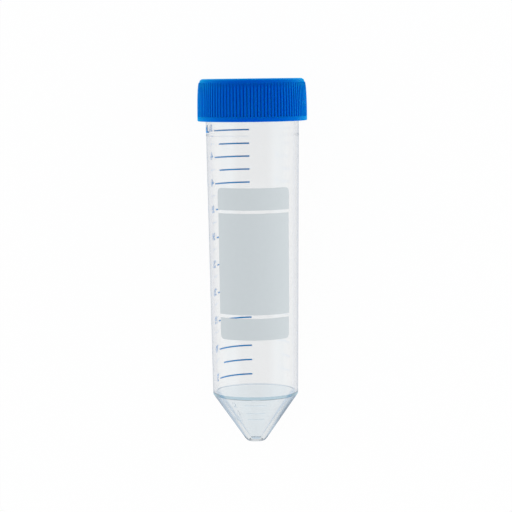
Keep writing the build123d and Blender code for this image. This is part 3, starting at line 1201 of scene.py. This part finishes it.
@dataclass
class ScrewCap:
    """The one-piece blue cap: rim band, ribbed wall, rounded shoulder, flat top and inside thread.

    Lengths are in millimetres, and heights above the tube's foot. The ribs bend in over the
    shoulder from ``rib_bend_height``. The thread runs 1.25 mm below the neck's.
    """

    bottom: float = 102.5
    rim_radius: float = 17.3
    rim_bevel: float = 0.3
    band_top: float = 103.9
    band_step: float = 0.12
    band_rounding: float = 0.1
    core_radius: float = 16.85
    shoulder: float = 113.85
    shoulder_rounding: float = 1.6
    edge_radius: float = 16.35
    edge_height: float = 115.3
    edge_rounding: float = 0.6
    top_radius: float = 15.7
    top: float = 115.7
    top_rounding: float = 0.5
    bore_radius: float = 15.95
    bore_bevel: float = 0.4
    ceiling: float = 114.2
    rib_count: int = 100
    rib_width: float = 0.56
    rib_root_width: float = 0.76
    rib_depth: float = 0.62
    rib_rounding: float = 0.1
    rib_rounding_steps: int = 2
    rib_sunk: float = 0.1
    rib_bend_height: float = 112.5
    rib_top: float = 114.5
    rib_top_radius: float = 16.8
    rib_steps: int = 9
    segments: int = 200
    thread: Thread = Thread(bottom=103.9, top=111.9, first_angle=29.0, rise=-0.85)
    thread_step: float = 0.16

    def outline(self) -> Outline:
        """Outline of the cap without its ribs, up the outside and down the inside.

        Returns:
            Points of (radius, height).
        """
        outside = rounded(
            [
                Corner(self.bore_radius + self.bore_bevel, self.bottom),
                Corner(self.rim_radius, self.bottom, self.rim_bevel),
                Corner(self.rim_radius, self.band_top, self.band_step),
                Corner(self.core_radius, self.band_top + self.band_step, self.band_rounding),
                Corner(self.core_radius, self.shoulder, self.shoulder_rounding),
                Corner(self.edge_radius, self.edge_height, self.edge_rounding),
                Corner(self.top_radius, self.top, self.top_rounding),
                Corner(0.0, self.top),
            ]
        )
        bore_low = (self.bore_radius, self.bottom + self.bore_bevel)
        wall = stepped((self.bore_radius, self.ceiling), bore_low, self.thread_step)
        return [*outside, (0.0, self.ceiling), *wall]

    def relief(self, radius: float, height: float, angle: float) -> float:
        """Thread on the bore and nothing elsewhere."""
        on_bore = abs(radius - self.bore_radius) < NEGLIGIBLE and height < self.ceiling
        return self.thread.relief(height, angle) if on_bore else 0.0

    def ribs(self, piece: Object, material: Material) -> None:
        """Adds the ribs to the cap's wall with a Geometry Nodes tree.

        One rib is a rounded bar swept up the wall and in over the shoulder, and a copy of it
        stands at each point of a ring.

        Args:
            piece: The cap, whose mesh the tree keeps.
            material: Finish of the whole cap.
        """
        tree = GeometryTree("cap_ribs")
        count = tree.size("Rib Count", self.rib_count)
        radius = tree.size("Rim Radius", self.rim_radius)
        top_radius = tree.size("Rib Top Radius", self.rib_top_radius)
        low = tree.size("Band Top", self.band_top - self.rib_sunk)
        bend = tree.size("Bend Height", self.rib_bend_height)
        high = tree.size("Rib Top", self.rib_top)
        width = tree.size("Rib Width", self.rib_width)
        root_width = tree.size("Rib Root Width", self.rib_root_width)
        depth = tree.size("Rib Depth", self.rib_depth)
        rounding = tree.size("Rib Rounding", self.rib_rounding)

        ends = {
            "Resolution": self.rib_steps,
            "Start": tree.xyz(X=radius, Z=low),
            "Middle": tree.xyz(X=radius, Z=bend),
            "End": tree.xyz(X=top_radius, Z=high),
        }
        path = tree.out("GeometryNodeCurveQuadraticBezier", ends)
        sides = {"Height": depth, "Bottom Width": width, "Top Width": root_width, "Offset": 0.0}
        section = tree.out("GeometryNodeCurvePrimitiveQuadrilateral", sides, mode="TRAPEZOID")
        arcs = {"Curve": section, "Count": self.rib_rounding_steps, "Radius": rounding}
        eased = tree.out("GeometryNodeFilletCurve", arcs, mode="POLY")
        inwards = tree.xyz(Y=tree.sum("MULTIPLY", depth, 0.5))
        sunk = tree.out("GeometryNodeTransform", {"Geometry": eased, "Translation": inwards})
        rib = tree.swept(path, sunk)
        index = tree.out("GeometryNodeInputIndex")
        angle = tree.sum("DIVIDE", tree.sum("MULTIPLY", index, 2 * math.pi), count)
        points = tree.out("GeometryNodePoints", {"Count": count})
        turned = {"Points": points, "Instance": rib, "Rotation": tree.xyz(Z=angle)}
        ring = tree.out("GeometryNodeInstanceOnPoints", turned)
        tree.run(piece, tree.joined(ring, tree.entry.outputs[0]), material)

    def build(self, placement: Placement, material: Material) -> Object:
        """Makes the cap.

        Args:
            placement: Where the tube lies.
            material: Its finish.

        Returns:
            The piece, riding on the cap's body.
        """
        piece = added("cap_shell", lathe("cap_shell", self.outline(), self.segments, self.relief))
        self.ribs(piece, material)
        placement.lay(piece.data)
        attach(piece, "cap")
        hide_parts("cap")
        return piece


def dress_seal(node: Object, material: Material) -> None:
    """Finishes the CAD seal ring, which keeps its own shape."""
    node.data.materials.clear()
    node.data.materials.append(material)


# ---- The print ----


@dataclass(frozen=True)
class PanelField:
    """One field of the writing panel, from a low to a high edge, in millimetres."""

    low: float
    high: float
    round_low: bool = False
    round_high: bool = False


class LineLength(Enum):
    """Where a graduation line ends, in degrees round the barrel from the middle of its back."""

    LONG = 64.6
    SHORT = 52.2


@dataclass
class Print:
    """The ink on the barrel: three panel fields in front, and lines and numbers behind.

    Lengths are in millimetres, volumes in millilitres and angles in degrees. The lines and the
    numbers start at angles from the middle of the back. One line is printed too high.

    Attributes:
        body: The tube under the ink.
        ink: How far the ink stands off the wall.
        half_angle: How far the panel reaches to either side of the front.
        bore_radius: Inside radius at the barrel's middle, which spaces the lines.
        number_weight: How far strokes are thickened, as a share of the type size.
        number_stretch: How much wider the figures are than the font's.
        number_raise: How far the numbers stand above their lines.
        last_number_raise: How much further the last one does.
        high_volume: Volume of the line that is too high.
    """

    body: TubeBody
    ink: float = 0.03
    fields: tuple[PanelField, ...] = (
        PanelField(34.45, 41.3, round_low=True),
        PanelField(42.4, 74.15),
        PanelField(75.15, 82.05, round_high=True),
    )
    half_angle: float = 50.3
    corner: float = 1.5
    corner_steps: int = 8
    columns: int = 72
    first_volume: int = 5
    first_height: float = 19.1
    last_volume: int = 50
    volume_step: float = 2.5
    number_step: int = 5
    bore_radius: float = 13.387
    line_width: float = 0.48
    line_start: float = 4.4
    line_steps: int = 40
    number_start: float = 71.0
    number_height: float = 2.4
    number_weight: float = 0.03
    number_stretch: float = 1.25
    number_raise: float = 0.55
    last_number_raise: float = 0.4
    high_volume: int = 35
    high_line_raise: float = 0.3

    @property
    def first_bore(self) -> float:
        """Inside radius at the lowest line."""
        return self.bore_radius + self.body.taper * (self.first_height - self.body.barrel_mid)

    def field_rows(self, part: PanelField) -> list[tuple[float, float]]:
        """Rows of a field, rounded at its outer corners.

        Args:
            part: The field.

        Returns:
            Height and half width of each row, from the lowest up.
        """
        middle = (part.low + part.high) / 2
        half = self.body.barrel_radius(middle) * math.radians(self.half_angle)
        steps = self.corner_steps
        turns = [math.pi / 2 * step / steps for step in range(steps + 1)]
        ups = [self.corner * (1 - math.cos(turn)) for turn in turns]
        insets = [self.corner * (1 - math.sin(turn)) for turn in turns]
        low, high = [(part.low, half)], [(part.high, half)]
        if part.round_low:
            low = [(part.low + up, half - inset) for up, inset in zip(ups, insets)]
        if part.round_high:
            high = [(part.high - up, half - inset) for up, inset in zip(ups, insets)][::-1]
        return low + high

    def field_mesh(self, part: PanelField) -> Mesh:
        """Thin mesh of one field.

        Args:
            part: The field.

        Returns:
            The closed mesh, laid round the barrel.
        """
        shape = bmesh.new()
        rows = []
        for level, half in self.field_rows(part):
            xs = [half * (2 * column / self.columns - 1) for column in range(self.columns + 1)]
            rows.append([shape.verts.new((x, level, 0.0)) for x in xs])
        for low, high in zip(rows, rows[1:]):
            for left in range(self.columns):
                shape.faces.new((low[left], low[left + 1], high[left + 1], high[left]))
        return wrapped(shape, self.ink, on_wall(self.body.barrel_radius))

    def panel(self, placement: Placement, material: Material) -> Object:
        """Makes the three fields of the writing panel.

        Args:
            placement: Where the tube lies.
            material: Their finish.

        Returns:
            The piece, riding on the tube.
        """
        meshes = [self.field_mesh(part) for part in self.fields]
        piece = assembled("panel_fields", meshes, placement, material)
        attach(piece, "tube")
        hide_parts("writing_panel")
        return piece

    def line_height(self, volume: float) -> float:
        """Height of the line for a volume, from the taper of the bore.

        Args:
            volume: The volume.

        Returns:
            Height above the foot.
        """
        taper, bore = self.body.taper, self.first_bore
        filled = (volume - self.first_volume) * METRE
        radius = (bore**3 + 3 * taper * filled / math.pi) ** (1 / 3)
        return self.first_height + (radius - bore) / taper

    def lines(self, placement: Placement, material: Material) -> Object:
        """Makes the graduation lines with a Geometry Nodes tree.

        Each line is an arc swept by a flat section. A copy stands at the height that its volume
        gives, sized to the taper, long on every second volume and short between.

        Args:
            placement: Where the tube lies.
            material: Their finish.

        Returns:
            The piece, riding on the tube.
        """
        last_index = round((self.last_volume - self.first_volume) / self.volume_step)
        high_index = (self.high_volume - self.first_volume) / self.volume_step
        tree = GeometryTree("graduation_lines")
        step = tree.size("Volume Step", self.volume_step * METRE)
        count = tree.size("Line Count", last_index + 1)
        first = tree.size("First Height", self.first_height)
        taper = tree.size("Barrel Taper", self.body.taper)
        bore = tree.size("Bore Radius", self.first_bore)
        barrel = tree.size("Barrel Radius", self.body.barrel_radius(self.first_height))
        width = tree.size("Line Width", self.line_width)
        thickness = tree.size("Ink Thickness", self.ink + SUNK)
        lift = tree.size("Ink Middle", (self.ink - SUNK) / 2)
        start = tree.size("Start Angle", math.radians(90 + self.line_start))

        index = tree.out("GeometryNodeInputIndex")
        filled = tree.sum("MULTIPLY", tree.sum("MULTIPLY", index, step), 3 / math.pi)
        cubed = tree.sum("MULTIPLY_ADD", filled, taper, tree.sum("POWER", bore, 3.0))
        gained = tree.sum("SUBTRACT", tree.sum("POWER", cubed, 1 / 3), bore)
        regular = tree.sum("ADD", first, tree.sum("DIVIDE", gained, taper))
        high_raise = tree.size("High Line Raise", self.high_line_raise)
        is_high = tree.sum("COMPARE", index, high_index, EQUAL_WITHIN)
        height = tree.sum("MULTIPLY_ADD", is_high, high_raise, regular)
        points = tree.out("GeometryNodePoints", {"Count": count, "Position": tree.xyz(Z=height)})
        swell = tree.sum("DIVIDE", tree.sum("ADD", barrel, gained), barrel)
        scale = tree.xyz(X=swell, Y=swell, Z=1.0)
        odd = tree.sum("MODULO", index, 2.0)
        sizes = {"Width": thickness, "Height": width}
        section = tree.out("GeometryNodeCurvePrimitiveQuadrilateral", sizes, mode="RECTANGLE")
        sets = []
        for length in LineLength:
            sweep = math.radians(length.value - self.line_start)
            round_barrel = {
                "Resolution": self.line_steps,
                "Radius": tree.sum("ADD", barrel, lift),
                "Start Angle": start,
                "Sweep Angle": tree.size(f"{length.name.title()} Sweep", sweep),
            }
            arc = tree.out("GeometryNodeCurveArc", round_barrel, mode="RADIUS")
            copied = {
                "Points": points,
                "Selection": tree.sum("SUBTRACT", 1.0, odd) if length is LineLength.LONG else odd,
                "Instance": tree.swept(arc, section),
                "Scale": scale,
            }
            sets.append(tree.out("GeometryNodeInstanceOnPoints", copied))
        piece = added("scale_lines", bpy.data.meshes.new("scale_lines"))
        tree.run(piece, tree.joined(*sets), material)
        placement.lay(piece.data)
        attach(piece, "tube")
        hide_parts("graduation_lines")
        return piece

    def numbers(self, placement: Placement, material: Material) -> Object:
        """Makes the numbers beside the long lines, with the unit after the last.

        Args:
            placement: Where the tube lies.
            material: Their finish.

        Returns:
            The piece, riding on the tube.
        """
        meshes = []
        for volume in range(self.first_volume, self.last_volume + 1, self.number_step):
            text, level = str(volume), self.line_height(volume) + self.number_raise
            if volume == self.last_volume:
                text += "mL"
                level += self.last_number_raise
            figures = flat_text(text, self.number_height, self.number_weight)
            radius, stretch = self.body.barrel_radius, self.number_stretch
            half = stretch * text_width(figures) / 2 / radius(level)
            angle = 180 + self.number_start + math.degrees(half)
            meshes.append(wrapped(figures, self.ink, on_wall(radius, level, angle, stretch)))
        piece = assembled("scale_numbers", meshes, placement, material)
        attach(piece, "tube")
        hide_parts("graduation_numbers")
        return piece


# ---- The studio ----


@dataclass(frozen=True)
class Viewpoint:
    """Where the camera stands in the upright tube's frame, in millimetres and degrees.

    Attributes:
        aside: Distance to the right of the tube's axis.
        away: Distance in front of the axis.
        height: Height above the foot.
        pitch: Angle that it looks down.
        yaw: Angle that it looks to the right.
        roll: Angle that it leans.
        lens: Focal length for a 36 mm sensor.
        nearest: Nearest distance that it shows, in metres.
    """

    aside: float = -0.79
    away: float = 524.6
    height: float = 117.3
    pitch: float = 6.29
    yaw: float = 0.157
    roll: float = -0.709
    lens: float = 116.51
    nearest: float = 0.01

    def matrix(self) -> Matrix:
        """Place and turn of the camera.

        Returns:
            What takes the camera's frame to the upright tube's, in millimetres.
        """
        pitch, yaw, roll = map(math.radians, (self.pitch, self.yaw, self.roll))
        level = math.cos(pitch)
        forward = Vector((math.sin(yaw) * level, math.cos(yaw) * level, -math.sin(pitch)))
        right = forward.cross(Vector((0.0, 0.0, 1.0))).normalized()
        up = right.cross(forward)
        leaning_right = right * math.cos(roll) + up * math.sin(roll)
        leaning_up = up * math.cos(roll) - right * math.sin(roll)
        turn = Matrix((leaning_right, leaning_up, -forward)).transposed().to_4x4()
        return Matrix.Translation((self.aside, -self.away, self.height)) @ turn


@dataclass(frozen=True)
class SoftBox:
    """A rectangular lamp that faces the tube and isn't seen itself.

    Attributes:
        side: Its width and height in metres.
        place: Where it stands from the middle of the tube, in metres.
        power: Its power in watts.
    """

    name: str
    side: tuple[float, float]
    place: tuple[float, float, float]
    power: float


@dataclass
class Studio:
    """White floor and surroundings, soft lamps and the camera.

    Attributes:
        placement: Where the tube lies.
        shadow_share: How much of the lamps' light and shadow the floor shows, from 0 to 1.
        bright_reach: Where the floor leaves white and where it reaches the horizon's colour, as
            gloss and glass show it, in metres from its middle.
        reflected_colour: Colour that gloss and glass reflect of the floor near by.
        horizon_colour: Colour that they show of the far floor and the walls.
        ceiling_colour: Colour that they show of the ceiling.
        wall_top: Where the walls end, in degrees above the horizon.
        ceiling_edge: Where the ceiling has its full colour.
        room_colour: Colour of the light that the room gives.
    """

    placement: Placement
    floor_size: float = 6.0
    floor_drop: float = 0.00002
    floor_colour: Colour = (250, 250, 250)
    shadow_share: float = 0.04
    bright_reach: tuple[float, float] = (0.06, 0.4)
    reflected_colour: Colour = (192, 199, 208)
    horizon_colour: Colour = (204, 222, 232)
    ceiling_colour: Colour = (122, 134, 144)
    wall_top: float = 25.0
    ceiling_edge: float = 60.0
    room_colour: Colour = (246, 248, 250)
    room_strength: float = 0.88
    boxes: tuple[SoftBox, ...] = (
        SoftBox("right_box", (0.5, 0.9), (0.8, 0.0, 0.15), 2.5),
        SoftBox("left_box", (0.5, 0.9), (-0.8, 0.0, 0.15), 1.7),
    )
    viewpoint: Viewpoint = Viewpoint()

    def floor(self) -> None:
        """Makes the white floor, which keeps a soft shadow of the tube."""
        half = self.floor_size / 2
        rim = [(-half, -half), (half, -half), (half, half), (-half, half)]
        mesh = bpy.data.meshes.new("floor")
        mesh.from_pydata([(x, y, -self.floor_drop) for x, y in rim], [], [(0, 1, 2, 3)])
        material, tree = new_material("white_floor")
        place = tree.node("ShaderNodeTexCoord").outputs["Object"]
        path = tree.node("ShaderNodeLightPath").outputs
        faded = tree.ramp(tree.vector("LENGTH", place), *self.bright_reach)
        dim = tree.sum("MULTIPLY", faded, tree.sum("SUBTRACT", 1.0, path["Is Camera Ray"]))
        near = tree.mix(path["Is Reflection Ray"], WHITE, self.reflected_colour)
        bright = tree.out("ShaderNodeEmission", {"Color": tree.mix(dim, near, self.horizon_colour)})
        matt = tree.out("ShaderNodeBsdfDiffuse", {"Color": srgb(self.floor_colour)})
        seen = tree.sum("MAXIMUM", path["Is Camera Ray"], path["Is Glossy Ray"])
        seen = tree.sum("MAXIMUM", seen, path["Is Transmission Ray"])
        share = tree.sum("MULTIPLY", seen, 1 - self.shadow_share)
        surface = tree.out("ShaderNodeMixShader", {0: share, 1: matt, 2: bright})
        tree.node("ShaderNodeOutputMaterial", {"Surface": surface})
        added("floor", mesh, material)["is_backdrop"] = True

    def room(self) -> None:
        """Makes the surroundings.

        They are white to look at and plain in the light that they give. What gloss and glass
        show of them is pale near the floor and dim overhead.
        """
        world = bpy.data.worlds.new("room")
        world.use_nodes = True
        world.node_tree.nodes.clear()
        tree = Tree(world.node_tree)
        way = tree.node("ShaderNodeTexCoord").outputs["Generated"]
        rise = tree.node("ShaderNodeSeparateXYZ", {0: way}).outputs["Z"]
        ends = (math.sin(math.radians(angle)) for angle in (self.wall_top, self.ceiling_edge))
        shade = tree.mix(tree.ramp(rise, *ends), self.horizon_colour, self.ceiling_colour)
        mirrored = tree.out("ShaderNodeBackground", {"Color": shade})
        light = {"Color": srgb(self.room_colour), "Strength": self.room_strength}
        plain = tree.out("ShaderNodeBackground", light)
        white = tree.out("ShaderNodeBackground", {"Color": srgb(WHITE)})
        path = tree.node("ShaderNodeLightPath").outputs
        passed = tree.sum("MAXIMUM", path["Is Glossy Ray"], path["Is Transmission Ray"])
        unseen = tree.out("ShaderNodeMixShader", {0: passed, 1: plain, 2: mirrored})
        surface = tree.out("ShaderNodeMixShader", {0: path["Is Camera Ray"], 1: unseen, 2: white})
        tree.node("ShaderNodeOutputWorld", {"Surface": surface})
        bpy.context.scene.world = world

    def lamps(self) -> None:
        """Hangs the soft boxes, each turned to the middle of the tube."""
        low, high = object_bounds()
        middle = (low + high) / 2
        for box in self.boxes:
            lamp = bpy.data.lights.new(box.name, "AREA")
            lamp.shape = "RECTANGLE"
            lamp.size, lamp.size_y = box.side
            lamp.energy = box.power
            holder = bpy.data.objects.new(box.name, lamp)
            holder.visible_glossy = False
            holder.visible_transmission = False
            holder.location = middle + Vector(box.place)
            holder.rotation_euler = (-Vector(box.place)).to_track_quat("-Z", "Y").to_euler()
            bpy.context.scene.collection.objects.link(holder)

    def camera(self) -> None:
        """Sets the camera up over the lying tube."""
        data = bpy.data.cameras.new("camera")
        data.lens = self.viewpoint.lens
        data.clip_start = self.viewpoint.nearest
        camera = bpy.data.objects.new("camera", data)
        bpy.context.scene.collection.objects.link(camera)
        place, turn, _ = (self.placement.matrix @ self.viewpoint.matrix()).decompose()
        camera.location = place
        camera.rotation_mode = "QUATERNION"
        camera.rotation_quaternion = turn
        bpy.context.scene.camera = camera

    def build(self) -> None:
        """Makes everything round the tube."""
        self.floor()
        self.room()
        self.lamps()
        self.camera()
        bpy.context.scene.view_settings.view_transform = "Standard"


# ---- The whole tube ----


def corners() -> list[list[float]]:
    """Lowest and highest corner of what is shown, as plain lists."""
    return [list(corner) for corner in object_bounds()]


def main() -> None:
    """Builds the tube round its CAD frame and sets up the studio."""
    logging.basicConfig(level=logging.INFO, format="%(name)s: %(message)s")
    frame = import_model()
    placement = Placement.from_frame(frame)
    body = TubeBody()
    ink = Print(body)
    scale_ink = SCALE_BLUE.material()
    pieces = [
        body.build(placement, ClearPlastic().material()),
        ScrewCap().build(placement, CAP_BLUE.material()),
        ink.panel(placement, PANEL_GREY.material()),
        ink.lines(placement, scale_ink),
        ink.numbers(placement, scale_ink),
    ]
    dress_seal(frame["nodes"]["seal_ring"], SEAL_RUBBER.material())
    for piece in pieces:
        LOG.info("%s: %d faces", piece.name, len(piece.data.polygons))
    Studio(placement).build()


if __name__ == "__main__":
    main()
